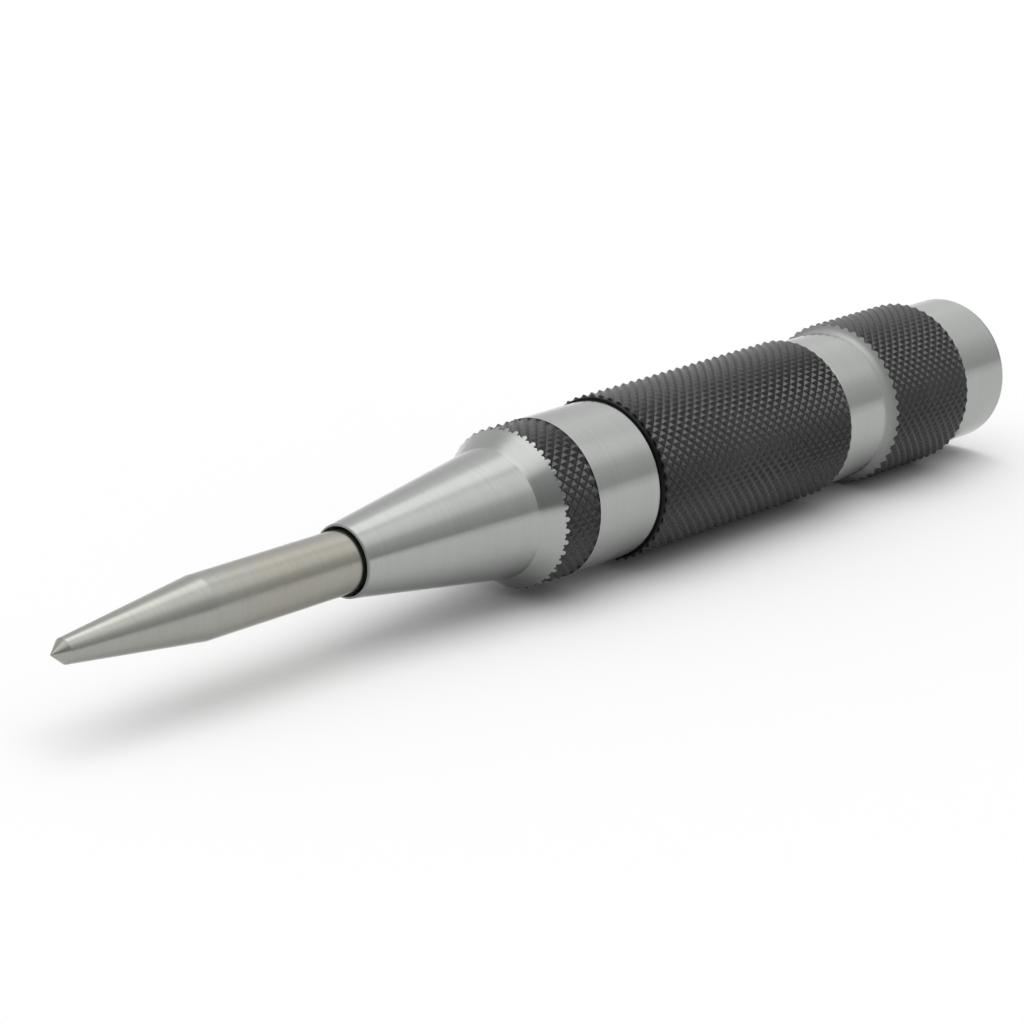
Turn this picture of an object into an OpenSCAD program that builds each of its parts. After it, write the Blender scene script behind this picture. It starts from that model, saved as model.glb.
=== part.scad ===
// Automatic center punch, heavy-duty size, lying on its side as on a bench.
// The tool lies along X with the tip at -X, and it rests on z = 0.
// Lengths run from the tip: every station is the sum of the lengths before it.

/* [Punch point] */
// Length of the ground tip cone
tip_len = 1.45; // [1.1:0.05:1.9]
// Radius where the tip cone meets the long taper
tip_r = 1.22; // [0.9:0.01:1.4]
// Distance from the tip to the end of the long taper
taper_len = 16.9; // [14:0.1:21]
// Radius of the punch shank
shank_r = 3.12; // [2.95:0.01:3.2]
// Length of punch that stands out of the nose
punch_reach = 35.15; // [31:0.05:37]
// Radius of the threaded tail that screws into the plunger
point_tail_r = 1.8; // [1.5:0.1:2]

/* [Nose piece] */
// Radius of the front rim
rim_r = 3.65; // [3.55:0.05:3.9]
// Length of the nose cone
cone_len = 20.55; // [19:0.05:23]
// Radius at the base of the nose cone
cone_r = 6.65; // [6.3:0.05:7]
// Length of the bright shoulder in front of the collar
shoulder_len = 2.6; // [2.2:0.01:3.2]
// Radius of the knurled collar
collar_r = 8.3; // [8:0.05:8.5]
// Length of the knurled collar
collar_len = 4.55; // [3.8:0.01:5.2]
// Radius of the bright band behind the collar
front_band_r = 8.22; // [7.9:0.01:8.3]
// Length of the bright band behind the collar
front_band_len = 9.15; // [8:0.05:10.5]
// Length of the threaded spigot that screws into the barrel
spigot_len = 7; // [6:0.1:8]
// Radius of the threaded spigot
spigot_r = 6.6; // [6.3:0.05:6.6]

/* [Barrel] */
// Radius of the knurled grip
grip_r = 8.73; // [8.6:0.01:9]
// Length of the knurled grip
grip_len = 31.45; // [31:0.05:33]
// Width of the chamfer at the ends of the grip
grip_chamfer = 0.45; // [0.3:0.05:0.6]
// Radius of the threaded tail that the cap screws on
tail_r = 6.3; // [6.1:0.05:6.5]
// Length of the threaded tail
tail_len = 12.5; // [10:0.1:13]

/* [Adjusting cap] */
// Gap between barrel and cap when the cap is screwed home
cap_gap = 0.3; // [0.2:0.05:0.5]
// Radius of the bright band in front of the cap's knurl
rear_band_r = 8.2; // [8:0.05:8.3]
// Length of the bright band, with the slope that rises to the knurl
rear_band_len = 7.7; // [7:0.05:9]
// Radius of the fillet between band and slope
cap_fillet_r = 1.15; // [0.7:0.05:1.4]
// Angle of the slope that rises to the knurl
cap_slope = 52; // [46:1:60]
// Radius of the knurled ring on the cap
cap_grip_r = 9.05; // [9.05:0.05:9.3]
// Length of the knurled ring
cap_grip_len = 13.05; // [12:0.05:14.5]
// Radius of the bright end of the cap
cap_end_r = 8.1; // [7.7:0.05:8.3]
// Length of the bright end of the cap
cap_end_len = 8.5; // [7:0.1:10]
// Rounding of the rear edge
cap_edge_r = 0.6; // [0.3:0.05:0.8]
// Thickness of the cap's end wall
cap_wall = 5; // [4:0.1:6]

/* [Mechanism] */
// Travel of the punch up to the trip
plunge = 7; // [6:0.1:7]
// Distance that the hammer flies to the plunger
strike_gap = 6; // [5:0.1:6]
// Radial play of pieces that slide or turn in each other
run_gap = 0.08; // [0.05:0.01:0.1]
// Radius of the plunger's flange
flange_r = 4.8; // [4.6:0.05:4.9]
// Radius of the plunger's striking shank
anvil_r = 2.9; // [2.6:0.05:2.95]
// Radius of the trip pin
pin_r = 1.2; // [1:0.05:1.3]
// Radius of the hammer
hammer_r = 4.77; // [4.7:0.01:4.8]
// Length of the hammer without its spring guide
hammer_len = 23; // [21:0.1:24]
// Sideways shift of the trip slide at the trip
trip_shift = 2; // [1.8:0.1:2]
// Size of the trip slide along the tool
slide_len = 4; // [3.8:0.1:4]
// Width of the trip slide
slide_w = 5; // [4.6:0.1:5]
// Radius of the chamber in which the slide stands out of the hammer
chamber_r = 6.8; // [6.8:0.05:7]

/* [Springs] */
// Wire radius of the return spring
return_wire_r = 0.4; // [0.3:0.05:0.4]
// Turns of the return spring
return_turns = 8; // [6:1:9]
// Wire radius of the main spring
main_wire_r = 0.6; // [0.4:0.05:0.6]
// Turns of the main spring
main_turns = 7; // [5:1:9]
// Wire radius of the trip spring
trip_wire_r = 0.12; // [0.1:0.01:0.13]
// Turns of the trip spring
trip_turns = 5; // [4:1:6]

/* [Hidden] */

bright = [0.70, 0.71, 0.72];
warm_grey = [0.58, 0.57, 0.54];
black_oxide = [0.20, 0.20, 0.20];
spring_steel = [0.45, 0.46, 0.48];
hard_steel = [0.52, 0.52, 0.53];

// Clearance between end faces that stop close to each other
end_gap = 0.2;
// Depth to which sharp edges are broken
edge_cut = 0.2;
// Radial play between screwed threads, which are drawn as plain cylinders
thread_play = 0.1;
// Distance by which a cut runs past the face that it opens
over = 1;
// Facets of a full circle
round_fn = 96;

// Stations of the outer shape, measured from the tip
cone_x = punch_reach + cone_len;
collar_x = cone_x + shoulder_len;
band_x = collar_x + collar_len;
grip_x = band_x + front_band_len;
grip_end_x = grip_x + grip_len;
cap_x = grip_end_x + cap_gap;
cap_grip_x = cap_x + rear_band_len;
cap_end_x = cap_grip_x + cap_grip_len;
tool_len = cap_end_x + cap_end_len;

// The tool lies on the knurled ring of the cap, its largest radius
axis_z = cap_grip_r;

// Nose bore with its flared mouth, and the pocket for flange and return spring
nose_bore_r = shank_r + run_gap;
mouth_len = 0.6;
rim_cut = 0.18;
rim_land = 0.02;
pocket_r = flange_r + run_gap;
pocket_inset = 1.3;
pocket_x = cone_x + pocket_inset;

// Plunger: the point screws into its front, the trip pin is pressed into its rear
joint_depth = 10.85;
joint_x = punch_reach + joint_depth;
point_tail_len = 7.5;
point_socket_r = point_tail_r + run_gap;
point_socket_len = 8;
flange_x = pocket_x + end_gap;
flange_len = 3;
pin_seat = 8;

// Front web of the barrel, which stops the hammer and carries the return spring
spigot_end_x = grip_x + spigot_len;
web_gap = 0.3;
web_x = spigot_end_x + web_gap;
web_len = 2;
web_end_x = web_x + web_len;
web_play = 0.4;
web_bore_r = anvil_r + web_play;
socket_r = spigot_r + thread_play;

// Hammer at rest, with its front end at the web
hammer_x = web_end_x + end_gap;
hammer_end_x = hammer_x + hammer_len;
hammer_bore_r = hammer_r + run_gap;
anvil_x = hammer_x - strike_gap;
pin_hole_r = pin_r + end_gap;
pin_hole_len = 14;
guide_r = 3;
guide_len = 3.5;

// Trip slide in its cross slot
slide_inset = 3.5;
slide_x = hammer_x + slide_inset;
slide_end_x = slide_x + slide_len;
slide_play = 0.1;
slide_bottom = -1;
slide_sink = 0.27;
slide_round_r = hammer_r - slide_sink;
slot_spare = 0.4;
slot_floor = slide_bottom - trip_shift - slot_spare;
trip_pocket_r = 0.95;
trip_pocket_len = 0.9;

// Cam: the chamber narrows over the stroke and pushes the slide in
cam_gap = 0.3;
cam_x = slide_end_x + cam_gap;
cam_end_x = cam_x + plunge;

// Fillet and slope between the cap's band and its knurled ring
slope_rise = cap_grip_r - rear_band_r - cap_fillet_r * (1 - cos(cap_slope));
fillet_x = cap_grip_x - slope_rise / tan(cap_slope) - cap_fillet_r * sin(cap_slope);

// Cap thread, cap bore and spring seat
tail_end_x = grip_end_x + tail_len;
cap_thread_r = tail_r + run_gap;
cap_relief = 1.5;
cap_thread_end_x = tail_end_x + cap_relief;
cap_bore_r = 5;
cap_floor_x = tool_len - cap_wall;
seat_gap = 0.1;
seat_len = 1.5;
seat_x = cap_floor_x - seat_gap - seat_len;
seat_boss_len = 3;

// Springs: mean radii and the play at their ends
spring_gap = 0.05;
return_mean_r = 3.85;
main_mean_r = 4;
trip_mean_r = 0.65;
coil_rings = 8;
coil_sides = 6;

// Points of an arc about [x, r], from angle a0 to a1
arc_steps = 8;
function arc(x, r, radius, a0, a1) = [
  for (i = [0 : arc_steps])
    let (a = a0 + (a1 - a0) * i / arc_steps)
    [x + radius * cos(a), r + radius * sin(a)]
];

// Centre line of a coil between two ends on the Z axis, as points
function coil_line(z0, z1, mean_r, wire_r, turns) = [
  for (i = [0 : turns * coil_rings])
    let (a = 360 * i / coil_rings)
    [
      mean_r * cos(a),
      mean_r * sin(a),
      z0 + wire_r + (z1 - z0 - 2 * wire_r) * i / (turns * coil_rings)
    ]
];

// Least gap between the turns of a coil, measured on its centre points
function coil_gap(line, wire_r) = min([
  for (i = [0 : len(line) - 1])
    for (j = [i + coil_rings / 2 : 1 : len(line) - 1])
      norm(line[i] - line[j]) - 2 * wire_r
]);

// One unbroken wire wound round the Z axis from z0 to z1
module coil(z0, z1, mean_r, wire_r, turns) {
  line = coil_line(z0, z1, mean_r, wire_r, turns);
  rings = len(line);
  points = [
    for (i = [0 : rings - 1])
      for (k = [0 : coil_sides - 1])
        let (a = 360 * i / coil_rings, b = 360 * k / coil_sides)
        line[i] + wire_r * [cos(b) * cos(a), cos(b) * sin(a), sin(b)]
  ];
  walls = [
    for (i = [0 : rings - 2])
      for (k = [0 : coil_sides - 1])
        let (
          a = i * coil_sides + k,
          b = i * coil_sides + (k + 1) % coil_sides,
          c = b + coil_sides,
          d = a + coil_sides
        )
        each [[a, b, c], [a, c, d]]
  ];
  last = (rings - 1) * coil_sides;
  ends = [
    for (k = [1 : coil_sides - 2])
      each [[0, k + 1, k], [last, last + k, last + k + 1]]
  ];
  echo(least_gap_mm = coil_gap(line, wire_r));
  polyhedron(points, concat(walls, ends));
}

// Puts a shape drawn along Z from the tip onto the lying tool's axis
module along_tool() {
  translate([-tool_len / 2, 0, axis_z])
    rotate([0, 90, 0])
      children();
}

// Turned piece from a closed outline of [station, radius] points
module turned(outline) {
  along_tool()
    rotate_extrude($fn = round_fn)
      polygon([for (p = outline) [p[1], p[0]]]);
}

// Bright cone with a knurled collar and a bright band, bored for the punch
module nose_piece() {
  color(bright)
    turned([
      [punch_reach, rim_r - rim_cut - rim_land],
      [punch_reach, rim_r - rim_cut],
      [punch_reach + rim_cut, rim_r],
      [cone_x, cone_r],
      [collar_x, collar_r],
      [band_x, collar_r],
      [band_x, front_band_r],
      [grip_x, front_band_r],
      [grip_x, spigot_r],
      [spigot_end_x, spigot_r],
      [spigot_end_x, pocket_r],
      [pocket_x, pocket_r],
      [pocket_x, nose_bore_r],
      [punch_reach + mouth_len, nose_bore_r]
    ]);
}

// Knurled black body: nose socket, web, slide chamber, cam taper and hammer bore
module barrel() {
  color(black_oxide)
    turned([
      [grip_x, socket_r],
      [grip_x, grip_r - grip_chamfer],
      [grip_x + grip_chamfer, grip_r],
      [grip_end_x - grip_chamfer / 2, grip_r],
      [grip_end_x, grip_r - grip_chamfer / 2],
      [grip_end_x, tail_r],
      [tail_end_x - edge_cut, tail_r],
      [tail_end_x, tail_r - edge_cut],
      [tail_end_x, hammer_bore_r],
      [cam_end_x, hammer_bore_r],
      [cam_x, chamber_r],
      [web_end_x, chamber_r],
      [web_end_x, web_bore_r],
      [web_x, web_bore_r],
      [web_x, socket_r]
    ]);
}

// Hardened point: ground tip, long taper, shank and threaded tail
module punch_point() {
  color(warm_grey)
    turned([
      [0, 0],
      [tip_len, tip_r],
      [taper_len, shank_r],
      [joint_x, shank_r],
      [joint_x, point_tail_r],
      [joint_x + point_tail_len, point_tail_r],
      [joint_x + point_tail_len, 0]
    ]);
}

// Plunger that carries the point, with its stop flange and striking end
module plunger() {
  color(hard_steel)
    turned([
      [joint_x, point_socket_r],
      [joint_x, shank_r],
      [flange_x, shank_r],
      [flange_x, flange_r],
      [flange_x + flange_len, flange_r],
      [flange_x + flange_len, anvil_r],
      [anvil_x, anvil_r],
      [anvil_x, pin_r],
      [anvil_x - pin_seat, pin_r],
      [anvil_x - pin_seat, 0],
      [joint_x + point_socket_len, 0],
      [joint_x + point_socket_len, point_socket_r]
    ]);
}

// Slim pin that pushes the trip slide
module trip_pin() {
  color(hard_steel)
    turned([
      [anvil_x - pin_seat, 0],
      [anvil_x - pin_seat, pin_r],
      [slide_x - 2 * end_gap, pin_r],
      [slide_x - end_gap, pin_r - end_gap],
      [slide_x - end_gap, 0]
    ]);
}

// Spring that brings the punch out again
module return_spring() {
  color(spring_steel)
    along_tool()
      coil(
        flange_x + flange_len + spring_gap, web_x - spring_gap,
        return_mean_r, return_wire_r, return_turns
      );
}

// Hammer with pin hole, cross slot for the slide, trip spring pocket and spring guide
module hammer() {
  color(hard_steel)
    difference() {
      turned([
        [hammer_x, pin_hole_r],
        [hammer_x, hammer_r],
        [hammer_end_x, hammer_r],
        [hammer_end_x, guide_r],
        [hammer_end_x + guide_len, guide_r],
        [hammer_end_x + guide_len, 0],
        [hammer_x + pin_hole_len, 0],
        [hammer_x + pin_hole_len, pin_hole_r]
      ]);
      slot_block(slide_play, slot_floor, hammer_r + over);
      trip_pocket(slot_floor - trip_pocket_len, slot_floor + over);
    }
}

// Block across the tool at the slide's place, between two heights above the axis
module slot_block(play, low, high) {
  translate([slide_x - play - tool_len / 2, -slide_w / 2 - play, axis_z + low])
    cube([slide_len + 2 * play, slide_w + 2 * play, high - low]);
}

// Round pocket for the trip spring, between two heights above the axis
module trip_pocket(low, high) {
  translate([slide_x + slide_len / 2 - tool_len / 2, 0, axis_z + low])
    cylinder(r = trip_pocket_r, h = high - low, $fn = round_fn);
}

// Slide that blocks the pin until the cam pushes its hole into line
module trip_slide() {
  color(hard_steel)
    difference() {
      intersection() {
        slot_block(0, slide_bottom, hammer_r + trip_shift);
        slide_rod(slide_round_r);
      }
      slide_rod(pin_hole_r);
      trip_pocket(slide_bottom - over, slide_bottom + trip_pocket_len);
    }
}

// Round rod through the slide, centred where the hole stands before the trip
module slide_rod(radius) {
  translate([0, 0, trip_shift])
    turned([
      [slide_x - over, 0],
      [slide_x - over, radius],
      [slide_end_x + over, radius],
      [slide_end_x + over, 0]
    ]);
}

// Small spring that holds the slide out of line
module trip_spring() {
  color(spring_steel)
    translate([slide_x + slide_len / 2 - tool_len / 2, 0, axis_z])
      coil(
        slot_floor - trip_pocket_len + spring_gap, slide_bottom + trip_pocket_len - spring_gap,
        trip_mean_r, trip_wire_r, trip_turns
      );
}

// Spring that drives the hammer
module main_spring() {
  color(spring_steel)
    along_tool()
      coil(
        hammer_end_x + spring_gap, seat_x - spring_gap,
        main_mean_r, main_wire_r, main_turns
      );
}

// Disc between main spring and cap, so that the cap turns without winding the spring
module spring_seat() {
  color(hard_steel)
    turned([
      [seat_x - seat_boss_len, 0],
      [seat_x - seat_boss_len, guide_r],
      [seat_x, guide_r],
      [seat_x, cap_bore_r - run_gap],
      [seat_x + seat_len, cap_bore_r - run_gap],
      [seat_x + seat_len, 0]
    ]);
}

// Cap that screws over the barrel's tail and loads the main spring
module adjusting_cap() {
  color(black_oxide)
    turned(concat(
      [
        [cap_x, cap_thread_r],
        [cap_x, rear_band_r - edge_cut],
        [cap_x + edge_cut, rear_band_r]
      ],
      arc(fillet_x, rear_band_r + cap_fillet_r, cap_fillet_r, -90, cap_slope - 90),
      [
        [cap_grip_x, cap_grip_r],
        [cap_end_x - edge_cut, cap_grip_r],
        [cap_end_x, cap_grip_r - edge_cut],
        [cap_end_x, cap_end_r]
      ],
      arc(tool_len - cap_edge_r, cap_end_r - cap_edge_r, cap_edge_r, 90, 0),
      [
        [tool_len, 0],
        [cap_floor_x, 0],
        [cap_floor_x, cap_bore_r],
        [cap_thread_end_x, cap_bore_r],
        [cap_thread_end_x, cap_thread_r]
      ]
    ));
}

nose_piece();
barrel();
punch_point();
plunger();
trip_pin();
return_spring();
hammer();
trip_slide();
trip_spring();
main_spring();
spring_seat();
adjusting_cap();
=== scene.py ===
import math

import bpy
import numpy as np
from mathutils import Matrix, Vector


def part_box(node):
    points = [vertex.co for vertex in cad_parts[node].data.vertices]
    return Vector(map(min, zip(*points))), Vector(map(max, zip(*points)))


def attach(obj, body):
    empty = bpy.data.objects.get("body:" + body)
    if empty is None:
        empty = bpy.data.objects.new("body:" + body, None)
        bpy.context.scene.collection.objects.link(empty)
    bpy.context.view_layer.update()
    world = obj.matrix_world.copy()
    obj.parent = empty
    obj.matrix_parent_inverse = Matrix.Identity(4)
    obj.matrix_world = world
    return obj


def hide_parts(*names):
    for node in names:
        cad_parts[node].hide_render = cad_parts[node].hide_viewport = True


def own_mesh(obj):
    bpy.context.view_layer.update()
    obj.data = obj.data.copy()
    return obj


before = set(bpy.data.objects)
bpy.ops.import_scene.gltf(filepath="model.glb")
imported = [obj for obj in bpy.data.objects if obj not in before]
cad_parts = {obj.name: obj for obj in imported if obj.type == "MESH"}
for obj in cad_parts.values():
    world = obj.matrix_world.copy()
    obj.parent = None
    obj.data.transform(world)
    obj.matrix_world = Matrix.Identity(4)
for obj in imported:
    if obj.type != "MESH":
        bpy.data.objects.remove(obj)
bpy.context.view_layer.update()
scene = bpy.context.scene

# Punch point. One hardened steel rod: tempering leaves the shank a warm grey, and the tip cone and the
# long taper are ground cleaner afterwards. Fine rings run round it all. Its tail screws into the plunger.
mm = 0.001
tip_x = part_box("punch_point")[0].x
axis_z = (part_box("adjusting_cap")[0].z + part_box("adjusting_cap")[1].z) / 2
sharp_from = math.radians(32)


def arc(station, radius, bend, start, end, steps=6):
    """Points on a circle of radius bend about (station, radius), from angle start to end in degrees."""
    angle = np.radians(np.linspace(start, end, steps + 1))
    return np.column_stack([station + bend * np.cos(angle), radius + bend * np.sin(angle)])


def edge_rows(*outline, hold=0.03):
    """Corners (station, radius) with two more points on each straight run, hold mm from its ends or a
    quarter of a short run, so that a corner bends the smooth shading only close to the edge."""
    corner = np.vstack(outline).astype(float)
    run = np.diff(corner, axis=0)
    share = np.minimum(1 / 4, hold / np.linalg.norm(run, axis=1, keepdims=True))
    rows = np.stack([corner[:-1], corner[:-1] + share * run, corner[1:] - share * run], axis=1)
    return np.vstack([rows.reshape(-1, 2), corner[-1:]])


def wrapped_piece(name, points, poles, odd=False, **marks):
    """Closed mesh over a grid of points[row, column]. The columns wrap round. The rows end in single
    points where poles is true, and otherwise the last row joins the first. Each square is cut from its
    first to its third corner, or the other way where odd is true. Edges bent by more than sharp_from are
    shaded sharp, and marks are values kept at the points."""
    rows, columns = points.shape[:2]
    index = np.arange(rows * columns).reshape(rows, columns)
    if poles:
        index[0] = index[0, 0]
        index[-1] = index[-1, 0]
    low = index[:-1] if poles else index
    high = index[1:] if poles else np.roll(index, -1, axis=0)
    a, b, c, d = low, np.roll(low, -1, axis=1), np.roll(high, -1, axis=1), high
    odd = np.broadcast_to(odd, low.shape)
    first = np.stack([a, b, np.where(odd, d, c)], axis=-1)
    second = np.stack([np.where(odd, b, a), c, d], axis=-1)
    faces = np.concatenate([first.reshape(-1, 3), second.reshape(-1, 3)])
    whole = (faces != np.roll(faces, 1, axis=1)).all(axis=1)
    used, faces = np.unique(faces[whole], return_inverse=True)
    faces = faces.reshape(-1, 3)
    place = points.reshape(-1, 3)[used]
    corner = place[faces] - place.mean(axis=0)
    if np.einsum("ij,ij->", corner[:, 0], np.cross(corner[:, 1], corner[:, 2])) < 0:
        faces = faces[:, ::-1]

    mesh = bpy.data.meshes.new(name)
    mesh.vertices.add(len(place))
    mesh.vertices.foreach_set("co", place.astype(np.float32).ravel())
    mesh.loops.add(faces.size)
    mesh.loops.foreach_set("vertex_index", faces.astype(np.int32).ravel())
    mesh.polygons.add(len(faces))
    mesh.polygons.foreach_set("loop_start", np.arange(0, faces.size, 3, dtype=np.int32))
    mesh.polygons.foreach_set("use_smooth", np.ones(len(faces), dtype=bool))
    mesh.update(calc_edges=True)
    mesh.set_sharp_from_angle(angle=sharp_from)
    for mark, value in marks.items():
        kept = np.broadcast_to(value, (rows, columns)).reshape(-1)[used]
        mesh.attributes.new(mark, "FLOAT", "POINT").data.foreach_set("value", kept.astype(np.float32))
    piece = bpy.data.objects.new(name, mesh)
    scene.collection.objects.link(piece)
    return piece


def turned_points(station, radius, columns):
    """Points round the tool's axis: station mm behind the tip and radius mm out, at equal angles."""
    angle = 2 * np.pi * np.arange(columns) / columns
    station, radius = np.broadcast_arrays(station, radius * np.ones(columns))
    across = mm * radius * np.cos(angle)
    upward = axis_z + mm * radius * np.sin(angle)
    return np.stack([tip_x + mm * station, across, upward], axis=-1)


def shader(tree, kind, inputs=None, **settings):
    """A node of that kind with its settings; an input is a value, or a socket to link from."""
    made = tree.nodes.new(kind)
    for setting, value in settings.items():
        setattr(made, setting, value)
    for socket, value in (inputs or {}).items():
        if isinstance(value, bpy.types.NodeSocket):
            tree.links.new(value, made.inputs[socket])
        else:
            made.inputs[socket].default_value = value
    return made


def between(tree, share, first, second):
    """Colour that goes from first to second with share."""
    mix = shader(tree, "ShaderNodeMix", data_type="RGBA")
    for socket, value in ((mix.inputs[0], share), (mix.inputs[6], first), (mix.inputs[7], second)):
        if isinstance(value, bpy.types.NodeSocket):
            tree.links.new(value, socket)
        else:
            socket.default_value = value
    return mix.outputs[2]


def ranged(tree, value, low, high, to_low, to_high, smooth=False):
    """Value carried from the range low..high to the range to_low..to_high, and held at its ends."""
    kind = "SMOOTHSTEP" if smooth else "LINEAR"
    limits = {"Value": value, "From Min": low, "From Max": high, "To Min": to_low, "To Max": to_high}
    return shader(tree, "ShaderNodeMapRange", limits, interpolation_type=kind).outputs[0]


round_per_m, clouds_per_m = 70, 260
cloud_low, cloud_high = 0.3, 0.7


def tool_mark_group():
    """Marks of lathe and grinding wheel. The ring place is the distance along the axis plus the distance
    from it, so that rings run round a cylinder and also across an end face. Noise that is fast along the
    ring place and slow round the tool gives the rings, and a slow one gives the clouds of handling."""
    group = bpy.data.node_groups.new("tool_marks", "ShaderNodeTree")
    rings_per_m = group.interface.new_socket("Rings", in_out="INPUT", socket_type="NodeSocketFloat")
    rings_per_m.default_value = 3000
    for made in ("Ring", "Cloud"):
        group.interface.new_socket(made, in_out="OUTPUT", socket_type="NodeSocketFloat")
    given = shader(group, "NodeGroupInput")
    object_place = shader(group, "ShaderNodeTexCoord").outputs["Object"]
    centred = shader(group, "ShaderNodeVectorMath", {0: object_place, 1: (0, 0, axis_z)},
                     operation="SUBTRACT").outputs[0]
    across = shader(group, "ShaderNodeVectorMath", {0: centred, 1: (0, 1, 1)},
                    operation="MULTIPLY").outputs[0]
    out = shader(group, "ShaderNodeVectorMath", {0: across}, operation="LENGTH").outputs["Value"]
    along = shader(group, "ShaderNodeSeparateXYZ", {0: centred}).outputs[0]
    ring_place = shader(group, "ShaderNodeMath", {0: along, 1: out}, operation="ADD").outputs[0]
    fast = shader(group, "ShaderNodeMath", {0: ring_place, 1: given.outputs["Rings"]},
                  operation="MULTIPLY").outputs[0]
    slow = shader(group, "ShaderNodeVectorMath", {0: across, 1: (0, round_per_m, round_per_m)},
                  operation="MULTIPLY").outputs[0]
    turns = shader(group, "ShaderNodeSeparateXYZ", {0: slow})
    ring_space = shader(group, "ShaderNodeCombineXYZ", {0: fast, 1: turns.outputs[1], 2: turns.outputs[2]})
    ring = shader(group, "ShaderNodeTexNoise",
                  {"Vector": ring_space.outputs[0], "Scale": 1.0, "Detail": 5.0, "Roughness": 0.8})
    cloud = shader(group, "ShaderNodeTexNoise",
                   {"Vector": object_place, "Scale": clouds_per_m, "Detail": 4.0, "Roughness": 0.6})
    shader(group, "NodeGroupOutput", {"Ring": ring.outputs[0], "Cloud": cloud.outputs[0]})
    return group


tool_marks = tool_mark_group()


def steel(name, dark, light, rough, rings, relief, heat=None):
    """Bare steel: rings shade the colour from dark to light and raise the surface by relief metres;
    clouds of handling vary the roughness between the two values of rough. heat is (dark, light, start,
    end): the colours of tempered steel, which begin start mm behind the tip and are full at end mm."""
    material = bpy.data.materials.new(name)
    material.use_nodes = True
    tree = material.node_tree
    surface = tree.nodes["Principled BSDF"]
    marks = shader(tree, "ShaderNodeGroup", {"Rings": rings}, node_tree=tool_marks)
    bump = shader(tree, "ShaderNodeBump", {"Height": marks.outputs["Ring"], "Distance": relief})
    surface.inputs["Metallic"].default_value = 1.0
    colour = between(tree, marks.outputs["Ring"], (*dark, 1), (*light, 1))
    if heat:
        hot_dark, hot_light, start, end = heat
        warm = between(tree, marks.outputs["Ring"], (*hot_dark, 1), (*hot_light, 1))
        place = shader(tree, "ShaderNodeTexCoord").outputs["Object"]
        along = shader(tree, "ShaderNodeSeparateXYZ", {0: place}).outputs[0]
        tempered = ranged(tree, along, tip_x + mm * start, tip_x + mm * end, 0, 1, smooth=True)
        colour = between(tree, tempered, colour, warm)
    tree.links.new(colour, surface.inputs["Base Color"])
    handled = ranged(tree, marks.outputs["Cloud"], cloud_low, cloud_high, *rough)
    tree.links.new(handled, surface.inputs["Roughness"])
    tree.links.new(bump.outputs[0], surface.inputs["Normal"])
    return material


tip_len, tip_r, tip_round = 1.45, 1.22, 0.1
taper_end, shank_r = 16.9, 3.12
shank_end, stub_r, stub_end = 46.0, 1.8, 53.5
point_break, point_columns = 0.1, 144
ground_dark, ground_light = (0.292, 0.292, 0.27), (0.382, 0.383, 0.354)
warm_dark, warm_light = (0.291, 0.283, 0.247), (0.381, 0.372, 0.323)
heat_start, heat_full = taper_end - 0.5, taper_end + 7
half_tip = math.degrees(math.atan2(tip_r, tip_len))
tip_ball = tip_round / math.sin(math.radians(half_tip))
point_rows = edge_rows(
    arc(tip_ball, 0, tip_round, 180, 90 + half_tip),
    [(tip_len, tip_r), (taper_end, shank_r), (shank_end - point_break, shank_r)],
    [(shank_end, shank_r - point_break), (shank_end, stub_r), (stub_end - point_break, stub_r)],
    [(stub_end, stub_r - point_break), (stub_end, 0)],
)
point_surface = turned_points(point_rows[:, :1], point_rows[:, 1:], point_columns)
point = wrapped_piece("point", point_surface, poles=True)
point.data.materials.append(steel(
    "ground_point", ground_dark, ground_light, rough=(0.2, 0.27), rings=2600, relief=0.000004,
    heat=(warm_dark, warm_light, heat_start, heat_full),
))
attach(point, "punch")
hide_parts("punch_point")

# Plunger and trip pin. The plunger carries the point and strikes with its rear end; the slim pin is
# pressed into it and pushes the trip slide. Both are hardened and ground, and stay inside the tool.
hard_steel = steel(
    "hardened_steel", dark=(0.33, 0.33, 0.335), light=(0.45, 0.45, 0.46), rough=(0.22, 0.32),
    rings=2200, relief=0.000004,
)


def finish_node(node, material):
    """Gives a CAD node that keeps its own shape its finish."""
    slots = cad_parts[node].data.materials
    slots.clear()
    slots.append(material)


finish_node("plunger", hard_steel)
finish_node("trip_pin", hard_steel)

# Return spring. Drawn steel wire wound cold round a mandrel; it sits between the plunger's flange and
# the web of the barrel, and is pressed together as the punch goes in.
spring_wire = steel(
    "spring_wire", dark=(0.2, 0.205, 0.22), light=(0.3, 0.305, 0.32), rough=(0.28, 0.38),
    rings=4000, relief=0.000003,
)


def coil(name, start, along, side, mean_r, wire_r, turns):
    """Round wire on a helix: its centre goes round the line from start by along, mean_r mm out, while it
    moves evenly from one end to the other, half a wire inside both. start and along are in metres."""
    rings, sides = 28, 14
    mean_r, wire_r = mm * mean_r, mm * wire_r
    length = np.linalg.norm(along)
    axis = along / length
    side_two = np.cross(axis, side)
    share = np.linspace(0, 1, int(turns * rings) + 1)[:, None, None]
    angle = 2 * np.pi * turns * share
    outward = np.cos(angle) * side + np.sin(angle) * side_two
    centre = start + axis * (wire_r + (length - 2 * wire_r) * share) + mean_r * outward
    round_wire = (2 * np.pi * np.arange(sides) / sides)[None, :, None]
    wall = centre + wire_r * (np.cos(round_wire) * outward + np.sin(round_wire) * axis)
    cap = np.ones((1, sides, 1))
    piece = wrapped_piece(name, np.concatenate([centre[:1] * cap, wall, centre[-1:] * cap]), poles=True)
    piece.data.materials.append(spring_wire)
    return piece


def lengthwise(node):
    """Front and rear end of a CAD node on the tool's axis."""
    low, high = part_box(node)
    return np.array([low.x, 0, axis_z]), np.array([high.x, 0, axis_z])


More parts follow.
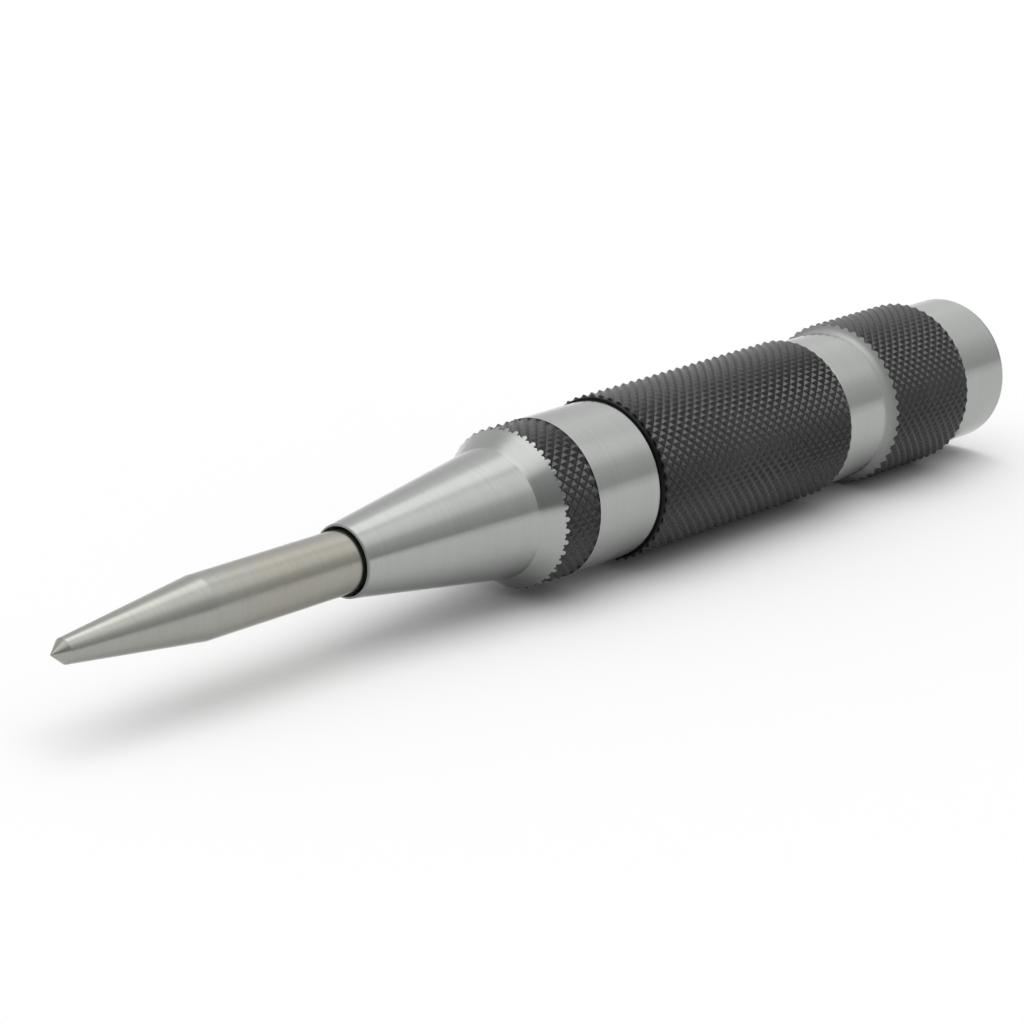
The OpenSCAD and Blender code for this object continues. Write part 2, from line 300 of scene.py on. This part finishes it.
sideways = np.array([0.0, 1, 0])
return_front, return_rear = lengthwise("return_spring")
return_run = return_rear - return_front
return_coil = coil("return_coil", return_front, return_run, sideways, mean_r=3.85, wire_r=0.4, turns=8)
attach(return_coil, "housing")
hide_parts("return_spring")
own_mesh(return_coil)

# Nose piece. Turned from one bar: bright cone, bright shoulder cut slantwise into the front of a black
# knurled collar, and a bright band behind it. It is bored for the punch and screws into the barrel.
tooth_depth, tooth_flat = 0.29, 1.06
# Painted shade in the knurl: how fast it fades up the teeth, and its share in a groove and where two grooves
# cross.
oil_fall, groove_oil, crossing_oil = 5, 0.12, 0.6
thread_pitch, thread_depth = 1.25, 0.7
dull_gain = 100


def ridge(count):
    """0 at each whole number, where a groove runs, and 1 half-way between two."""
    return 1 - np.abs(2 * (count % 1) - 1)


def diamond_knurl(station, angle, starts, pitch, phase, peak):
    """Two sets of V grooves that cross, one climbing to the left and one to the right. The height of a
    tooth is the lower of its two ridges, with a narrow flat top. Painted shade lies at the bottom of the
    grooves, most of it where two cross. Returns the radius, and height and painted shade from 0 to 1."""
    around, along = starts * angle / (2 * np.pi), station / pitch + phase
    left, right = ridge(around + along), ridge(around - along)
    height = np.minimum(1, tooth_flat * np.minimum(left, right))
    crossing = np.clip(1 - 2 * np.maximum(left, right), 0, 1)
    oil = np.clip(1 - oil_fall * height, 0, 1) * (groove_oil + crossing_oil * crossing)
    return peak - tooth_depth * (1 - height), height, oil


def screw_thread(station, angle):
    """Depth of a single thread below its crest: a ridge that moves by one pitch in each turn, and is cut
    flat over the first and the last sixth of its height."""
    share = ridge(station / thread_pitch - angle / (2 * np.pi))
    return thread_depth * np.clip(1.5 * share - 0.25, 0, 1)


def steps_between(first, last, step):
    """Even rows from first to last (station, radius), at most step mm apart along the axis."""
    count = max(1, math.ceil(abs(last[0] - first[0]) / step))
    return np.linspace(first, last, count + 1)


def knurled_piece(name, stretches, starts, pitch, phase, peak, cells, poles=False):
    """Turned piece with knurled stretches. Each stretch is (finish, rows of station and turned radius).
    The finish is bright, dull or grimy on bare steel, black, plain or threaded on black steel, of
    which plain has no painted shade, and knurled or knurled with a dull cut. dull is rougher and darker,
    a painted shade; grimy is steel darkened half-way to black, a painted shade in the bore and its
    mouth. On a knurled one the surface is the lower of the turned radius and the teeth, so that a slanting
    cut leaves a jagged edge. cells is the number of squares round each tooth. The mark bare is above 0
    where the lathe left bare steel and grows from 1 to 2 where it gets dull, dull_gain times as fast on a
    dull cut, so that this is dull right from its edge. crest is the height of the teeth, and the painted
    shade mark is 1 on the black and threaded stretches."""
    station, turned = np.vstack([rows for finish, rows in stretches])[:, :, None].transpose(1, 0, 2)
    finish_at = np.concatenate([[finish] * len(rows) for finish, rows in stretches])[:, None]
    columns = cells * starts
    angle = 2 * np.pi * np.arange(columns)[None, :] / columns
    toothed, height, oil = diamond_knurl(station, angle, starts, pitch, phase, peak)
    knurled = np.isin(finish_at, ("knurled", "knurled, dull cut"))
    radius = np.where(knurled, np.minimum(turned, toothed), turned)
    radius = np.where(finish_at == "threaded", turned - screw_thread(station, angle), radius)
    # grimy sits at 0, half-way to black: painted shade.
    bare_ends = {"bright": (1, 1), "dull": (1, 2), "grimy": (0, 0)}
    turned_bare = np.concatenate([np.linspace(*bare_ends.get(finish, (-1, -1)), len(rows))
                                  for finish, rows in stretches])[:, None]
    cut_bare = (toothed - turned) * np.where(finish_at == "knurled", 1, dull_gain)
    bare = np.where(knurled, cut_bare, turned_bare)
    crest = np.where(knurled, height, 0.0)
    oily = np.isin(finish_at, ("black", "threaded"))
    oil = np.where(knurled, oil, np.where(oily, 1.0, 0.0))
    low = station[:-1] if poles else station
    high = station[1:] if poles else np.roll(station, -1, axis=0)
    half_along = np.floor((low + high) / pitch + 2 * phase)
    half_around = np.floor(starts * (angle + np.pi / columns) / np.pi)
    odd = (half_along + half_around) % 2 > 0.5
    points = turned_points(station, radius, columns)
    piece = wrapped_piece(name, points, poles, odd, bare=bare, crest=crest, oil=oil)
    piece.data.materials.append(blackened_steel)
    return piece


def grey(level):
    """Plain grey of that level."""
    return level, level, level, 1


def blackened():
    """Black oxide over bright steel. Where bare is above 0 the black was turned away and the steel shows
    its rings; from 1 to 2 its polish goes and its colour gets darker, a painted shade. On the black, the
    tops of the teeth are worn paler, and painted shade turns the grooves, most where two cross, and the
    black and threaded stretches into a nearly black metal."""
    ring_dark, ring_light = (0.333, 0.343, 0.333, 1), (0.408, 0.42, 0.408, 1)
    # The dull steel colour is a painted shade, darker than the bright rings.
    shaded_dull_steel = (0.285, 0.293, 0.285, 1)
    # oiled_oxide is painted shade: the colour of the dark metal in the grooves and on the black stretches.
    oxide_dark, oxide_light, worn_oxide, oiled_oxide = grey(0.006), grey(0.011), grey(0.028), grey(0.013)
    polish_rough, dull_rough, oxide_rough, worn_rough = (0.14, 0.2), 0.6, 0.32, 0.26
    blur, dull_by, worn_from, ring_relief = 0.012, 1.1, 0.8, 0.000004
    patch_ramp = (0.35, 0.7, 0.45, 1.0)
    material = bpy.data.materials.new("blackened_and_turned")
    material.use_nodes = True
    tree = material.node_tree
    surface = tree.nodes["Principled BSDF"]
    marks = shader(tree, "ShaderNodeGroup", {"Rings": 2400}, node_tree=tool_marks)
    bare = shader(tree, "ShaderNodeAttribute", attribute_name="bare").outputs["Fac"]
    crest = shader(tree, "ShaderNodeAttribute", attribute_name="crest").outputs["Fac"]
    oil = shader(tree, "ShaderNodeAttribute", attribute_name="oil").outputs["Fac"]
    cut = ranged(tree, bare, -blur, blur, 0, 1)
    bright = between(tree, marks.outputs["Ring"], ring_dark, ring_light)
    # Painted shade: from bare 1 to 2 the colour darkens towards shaded_dull_steel.
    bright = between(tree, ranged(tree, bare, 1, 2, 0, 1), bright, shaded_dull_steel)
    worn = ranged(tree, crest, worn_from, 1.0, 0, 1, smooth=True)
    patchy = ranged(tree, marks.outputs["Cloud"], *patch_ramp)
    wear = shader(tree, "ShaderNodeMath", {0: worn, 1: patchy}, operation="MULTIPLY")
    oxide = between(tree, marks.outputs["Cloud"], oxide_dark, oxide_light)
    black = between(tree, wear.outputs[0], oxide, worn_oxide)
    # Painted shade: the grooves, their crossings and the black stretches turn into dark metal.
    black = between(tree, oil, black, oiled_oxide)
    tree.links.new(between(tree, cut, black, bright), surface.inputs["Base Color"])
    shine = shader(tree, "ShaderNodeMath", {0: cut, 1: oil}, operation="MAXIMUM")
    tree.links.new(shine.outputs[0], surface.inputs["Metallic"])
    polish = ranged(tree, marks.outputs["Cloud"], cloud_low, cloud_high, *polish_rough)
    dull = ranged(tree, bare, 1, dull_by, 0, 1)
    polish = shader(tree, "ShaderNodeMix", {0: dull, 2: polish, 3: dull_rough}, data_type="FLOAT").outputs[0]
    black_rough = ranged(tree, wear.outputs[0], 0, 1, oxide_rough, worn_rough)
    rough = shader(tree, "ShaderNodeMix", {0: cut, 2: black_rough, 3: polish}, data_type="FLOAT")
    tree.links.new(rough.outputs[0], surface.inputs["Roughness"])
    bump = shader(tree, "ShaderNodeBump", {"Height": marks.outputs["Ring"], "Distance": ring_relief})
    tree.links.new(bump.outputs[0], surface.inputs["Normal"])
    return material


blackened_steel = blackened()
rim_at, rim_r, rim_round = 35.15, 3.65, 0.18
bore_r, mouth_r, mouth_len = 3.2, 3.45, 0.6
cone_end, cone_r = 55.7, 6.65
collar_at, collar_r, collar_end = 58.3, 8.3, 62.85
band_r, band_end, band_break = 8.22, 72.0, 0.1
spigot_r, spigot_end, spigot_break = 6.6, 79.0, 0.3
pocket_at, pocket_r = 57.0, 4.88
collar_starts, collar_pitch, collar_phase, collar_cells = 42, 1.26, -0.155, 14
edge_wall, finish_line, crease_hold = 0.15, 0.02, 0.01
cut_depth = tooth_depth + 0.1
shoulder_slope = (collar_r - cone_r) / (collar_at - cone_end)
teeth_show = collar_at - cut_depth / shoulder_slope
shoulder_r = collar_r - cut_depth
collar_row = collar_pitch / collar_cells
rim = arc(rim_at + rim_round, rim_r - rim_round, rim_round, 180, 90, steps=5)
nose = knurled_piece("nose", [
    # The rounding of the mouth is dull: rougher, and darker as painted shade.
    ("dull", np.vstack([[(rim_at, mouth_r)], rim[:-1]])),
    ("bright", edge_rows(rim[-1:], [(cone_end, cone_r), (teeth_show, shoulder_r)], hold=crease_hold)),
    ("knurled", steps_between((teeth_show, shoulder_r), (collar_at, collar_r), collar_row / 2)[1:]),
    ("knurled", steps_between((collar_at, collar_r), (collar_end - edge_wall, collar_r), collar_row)[1:]),
    ("black", np.array([(collar_end, band_r - finish_line)])),
    ("bright", edge_rows(
        [(collar_end + finish_line, band_r), (band_end - band_break, band_r)],
        [(band_end, band_r - band_break), (band_end, spigot_r), (spigot_end - spigot_break, spigot_r)],
        [(spigot_end, spigot_r - spigot_break), (spigot_end, pocket_r), (pocket_at, pocket_r)],
        [(pocket_at, bore_r)],
    )),
    # Bore and mouth chamfer: steel darkened half-way to black, a painted shade in the bore.
    ("grimy", edge_rows([(pocket_at, bore_r - finish_line), (rim_at + mouth_len, bore_r)],
                        [(rim_at + finish_line, mouth_r - finish_line)])),
], collar_starts, collar_pitch, collar_phase, collar_r, collar_cells)
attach(nose, "housing")
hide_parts("nose_piece")

# Barrel. Bored steel tube, blackened all over, with a long diamond knurl between a plain front ring and
# a small chamfer at the rear. Inside are the web, the slide's chamber, the cam taper and the hammer's
# bore; the cap screws on its threaded tail.
grip_at, grip_r, grip_end = 72.0, 8.73, 103.45
ring_r, ring_len, ring_round = 8.5, 0.5, 0.22
rear_break = 0.225
socket_r, web_at, web_end, web_bore_r = 6.7, 79.3, 81.3, 3.3
chamber_r, cam_at, cam_end, hammer_bore_r = 6.8, 89.3, 96.3, 4.85
tail_r, tail_end = 6.3, 115.95
relief_r, thread_at, thread_end = 5.55, 104.6, 115.2
grip_starts, grip_pitch, grip_phase, grip_cells = 45, 1.24, 0.0, 8
grip_row, thread_row = grip_pitch / grip_cells, 0.21
teeth_at = grip_at + ring_len
barrel = knurled_piece("grip_barrel", [
    # The front ring is black with painted shade all over it.
    ("black", np.vstack([
        [(grip_at, socket_r)],
        arc(grip_at + ring_round, ring_r - ring_round, ring_round, 180, 90, steps=4),
        [(teeth_at - finish_line, ring_r)],
    ])),
    ("plain", np.array([(teeth_at, ring_r)])),
    ("knurled", steps_between((teeth_at + finish_line, grip_r), (grip_end - rear_break, grip_r), grip_row)),
    ("knurled", steps_between((grip_end - rear_break, grip_r), (grip_end, grip_r - rear_break),
                              grip_row / 2)[1:]),
    ("black", np.array([
        (grip_end + finish_line, grip_r - tooth_depth - rear_break), (grip_end + finish_line, relief_r),
        (thread_at, relief_r),
    ])),
    ("threaded", steps_between((thread_at + finish_line, tail_r), (thread_end, tail_r), thread_row)),
    ("black", np.array([
        (thread_end + finish_line, relief_r), (tail_end, relief_r), (tail_end, hammer_bore_r),
        (cam_end, hammer_bore_r), (cam_at, chamber_r), (web_end, chamber_r), (web_end, web_bore_r),
        (web_at, web_bore_r), (web_at, socket_r),
    ])),
], grip_starts, grip_pitch, grip_phase, grip_r, grip_cells)
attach(barrel, "housing")
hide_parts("barrel")

# Hammer, trip slide and trip spring. The hammer is a hardened weight with a cross slot; the slide in it
# blocks the pin until the cam pushes its hole into line, and the small spring pushes it back.
finish_node("hammer", hard_steel)
finish_node("trip_slide", hard_steel)
trip_low, trip_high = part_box("trip_spring")
trip_foot = np.array([(trip_low.x + trip_high.x) / 2, 0, trip_low.z])
trip_run = np.array([0.0, 0, trip_high.z - trip_low.z])
trip_coil = coil("trip_coil", trip_foot, trip_run, sideways, mean_r=0.65, wire_r=0.12, turns=5)
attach(trip_coil, "hammer")
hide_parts("trip_spring")
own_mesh(trip_coil)

# Main spring and its seat. Heavy spring wire drives the hammer; the disc at its rear lets the cap turn
# without winding the spring up.
main_front, main_rear = lengthwise("main_spring")
main_run = main_rear - main_front
main_coil = coil("main_coil", main_front, main_run, sideways, mean_r=4.0, wire_r=0.6, turns=7)
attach(main_coil, "spring_seat")
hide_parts("main_spring")
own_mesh(main_coil)
finish_node("spring_seat", hard_steel)

# Adjusting cap. Turned from bar and bored blind: a bright band with a filleted slope that cuts into the
# black knurled ring, and a bright plain end. Screwing it on loads the main spring.
cap_at, cap_break, rear_band_r = 103.75, 0.2, 8.2
cap_fillet, cap_slope, fillet_blend = 1.15, 52, 0.6
cap_grip_at, cap_grip_r, cap_grip_end = 111.45, 9.05, 124.5
cap_end_r, cap_end, cap_round = 8.1, 133.0, 0.6
cap_thread_r, cap_thread_end, cap_bore_r, cap_floor = 6.38, 117.45, 5.0, 128.0
cap_starts, cap_pitch, cap_phase, cap_cells = 47, 1.18, 0.119, 10
rise = math.tan(math.radians(cap_slope))
fillet_top = rear_band_r + cap_fillet * (1 - math.cos(math.radians(cap_slope)))
slope_at = cap_grip_at - (cap_grip_r - fillet_top) / rise
fillet_at = slope_at - cap_fillet * math.sin(math.radians(cap_slope))
cap_teeth_r = cap_grip_r - cut_depth
cap_teeth_at = cap_grip_at - cut_depth / rise
cap_row, cut_rows = cap_pitch / cap_cells, 8
cap_back = cap_grip_end + finish_line
cap = knurled_piece("screw_cap", [
    ("black", edge_rows(
        [(cap_floor, 0), (cap_floor, cap_bore_r), (cap_thread_end, cap_bore_r)],
        [(cap_thread_end, cap_thread_r), (cap_at + finish_line, cap_thread_r)],
    )),
    ("bright", edge_rows(
        [(cap_at, cap_thread_r + cap_break)],
        arc(cap_at + cap_break, rear_band_r - cap_break, cap_break, 180, 90, steps=3),
        [(fillet_at - fillet_blend - finish_line, rear_band_r)],
    )),
    # The fillet and the cut slope are dull: rougher, and darker as painted shade.
    ("dull", np.vstack([[(fillet_at - fillet_blend, rear_band_r)],
                        arc(fillet_at, rear_band_r + cap_fillet, cap_fillet, -90, cap_slope - 90, steps=10),
                        [(cap_teeth_at, cap_teeth_r)]])),
    ("knurled, dull cut", steps_between((cap_teeth_at, cap_teeth_r), (cap_grip_at, cap_grip_r),
                                        cap_row / cut_rows)[1:]),
    ("knurled", steps_between((cap_grip_at, cap_grip_r), (cap_grip_end - cap_break, cap_grip_r),
                              cap_row)[1:]),
    ("knurled", steps_between((cap_grip_end - cap_break, cap_grip_r), (cap_grip_end, cap_grip_r - cap_break),
                              cap_row / 2)[1:]),
    ("black", edge_rows([(cap_back, cap_teeth_r), (cap_back, cap_end_r)])),
    ("bright", edge_rows(
        [(cap_grip_end + 2 * finish_line, cap_end_r)],
        arc(cap_end - cap_round, cap_end_r - cap_round, cap_round, 90, 0, steps=8),
        [(cap_end, 0)],
    )),
], cap_starts, cap_pitch, cap_phase, cap_grip_r, cap_cells, poles=True)
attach(cap, "cap")
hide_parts("adjusting_cap")

# Table, light and camera. The tool lies on a white table under a pale ceiling with three soft round lamps
# and one long tube, which draw the highlights on cones and bands. The camera's side is dimmer, and so are
# the two ends of the room.
half_floor, table_grey, table_rough = 3.0, 0.79, 0.9
floor_mesh = bpy.data.meshes.new("table")
floor_mesh.from_pydata(
    [(-half_floor, -half_floor, 0), (half_floor, -half_floor, 0),
     (half_floor, half_floor, 0), (-half_floor, half_floor, 0)], [], [(0, 1, 2, 3)])
table = bpy.data.objects.new("table", floor_mesh)
scene.collection.objects.link(table)
white_table = bpy.data.materials.new("white_table")
white_table.use_nodes = True
table_top = white_table.node_tree.nodes["Principled BSDF"].inputs
table_top["Base Color"].default_value = grey(table_grey)
table_top["Roughness"].default_value = table_rough
table_top["Specular IOR Level"].default_value = 0.0
floor_mesh.materials.append(white_table)

world = bpy.data.worlds.new("studio")
world.use_nodes = True
scene.world = world
sky = world.node_tree
direction = shader(sky, "ShaderNodeTexCoord").outputs["Generated"]
sky_x, sky_y, sky_z = shader(sky, "ShaderNodeSeparateXYZ", {0: direction}).outputs


def toward(way):
    """Cosine of the angle between a direction of the sky and way."""
    way = tuple(np.array(way) / np.linalg.norm(way))
    along = shader(sky, "ShaderNodeVectorMath", {0: direction, 1: way}, operation="DOT_PRODUCT")
    return along.outputs["Value"]


def combined(kind, first, second):
    """Sum, difference or product of two values of the sky."""
    return shader(sky, "ShaderNodeMath", {0: first, 1: second}, operation=kind).outputs[0]


def soft_patch(way, core, edge, level):
    """Round patch of the sky with a soft edge: level within core degrees of way, none beyond edge degrees."""
    near, far = math.cos(math.radians(core)), math.cos(math.radians(edge))
    return ranged(sky, toward(way), far, near, 0, level, smooth=True)


# A ramp of the sky is (first place, last place, level at the first, level at the last).
ceiling_way, far_wall_ramp = (0, 0.7, 0.714), (0.36, 0.7, 1.0, 0.68)
ceiling_ramp, ceiling_top_ramp = (-0.6, 0.336, 0.4, 1.05), (0.336, 0.69, 0, 0.137)
lean = toward(ceiling_way)
light = combined("ADD", ranged(sky, lean, *ceiling_ramp), ranged(sky, lean, *ceiling_top_ramp))
light = combined("MULTIPLY", light, ranged(sky, sky_y, *far_wall_ramp))
camera_side = soft_patch((-0.45, -0.76, 0.47), core=20, edge=29, level=0.43)
light = combined("MULTIPLY", light, combined("SUBTRACT", 1.0, camera_side))
for lamp in (
    soft_patch((0.46, 0.17, 0.87), core=5, edge=18, level=0.52),
    soft_patch((0.55, -0.42, 0.72), core=8, edge=22, level=0.3),
    soft_patch((-0.13, 0.02, 0.99), core=10, edge=36, level=0.5),
):
    light = combined("ADD", light, lamp)

tube_way, tube_front_ramp, tube_back_ramp = (0.97, -0.243, 0), (-0.04, 0.07, 0, 1), (0.26, 0.38, 1, 0)
tube_far_ramp, tube_near_ramp = (0.28, 0.48, 1, 0), (-0.62, -0.42, 0, 2.4)
tube_side = toward(tube_way)
tube = combined("MULTIPLY", ranged(sky, tube_side, *tube_front_ramp, smooth=True),
                ranged(sky, tube_side, *tube_back_ramp, smooth=True))
tube = combined("MULTIPLY", tube, ranged(sky, sky_y, *tube_far_ramp, smooth=True))
tube = combined("MULTIPLY", tube, ranged(sky, sky_y, *tube_near_ramp, smooth=True))
light = combined("ADD", light, tube)

horizon_ramp, horizon_level = (0.07, 0.12, 1, 0), 0.87
cap_wall_ramp, tip_wall_ramp = (0.84, 0.95, 1.0, 0.35), (-0.95, -0.7, 0.38, 1.0)
horizon = ranged(sky, sky_z, *horizon_ramp)
level = shader(sky, "ShaderNodeMix", {0: horizon, 2: light, 3: horizon_level}, data_type="FLOAT").outputs[0]
level = combined("MULTIPLY", level, ranged(sky, sky_x, *cap_wall_ramp))
level = combined("MULTIPLY", level, ranged(sky, sky_x, *tip_wall_ramp))
sky.links.new(level, sky.nodes["Background"].inputs["Strength"])
sky.nodes["Background"].inputs["Color"].default_value = (1, 1, 1, 1)

scene.view_settings.view_transform = "Standard"
camera_place, camera_tilt, camera_heading = (-0.2283, -0.2033, 0.1021), 17.325, -47.34
camera_data = bpy.data.cameras.new("camera")
camera_data.sensor_width, camera_data.lens = 36, 111.2
camera = bpy.data.objects.new("camera", camera_data)
scene.collection.objects.link(camera)
camera.location = camera_place
camera.rotation_euler = (math.radians(90 - camera_tilt), 0, math.radians(camera_heading))
scene.camera = camera
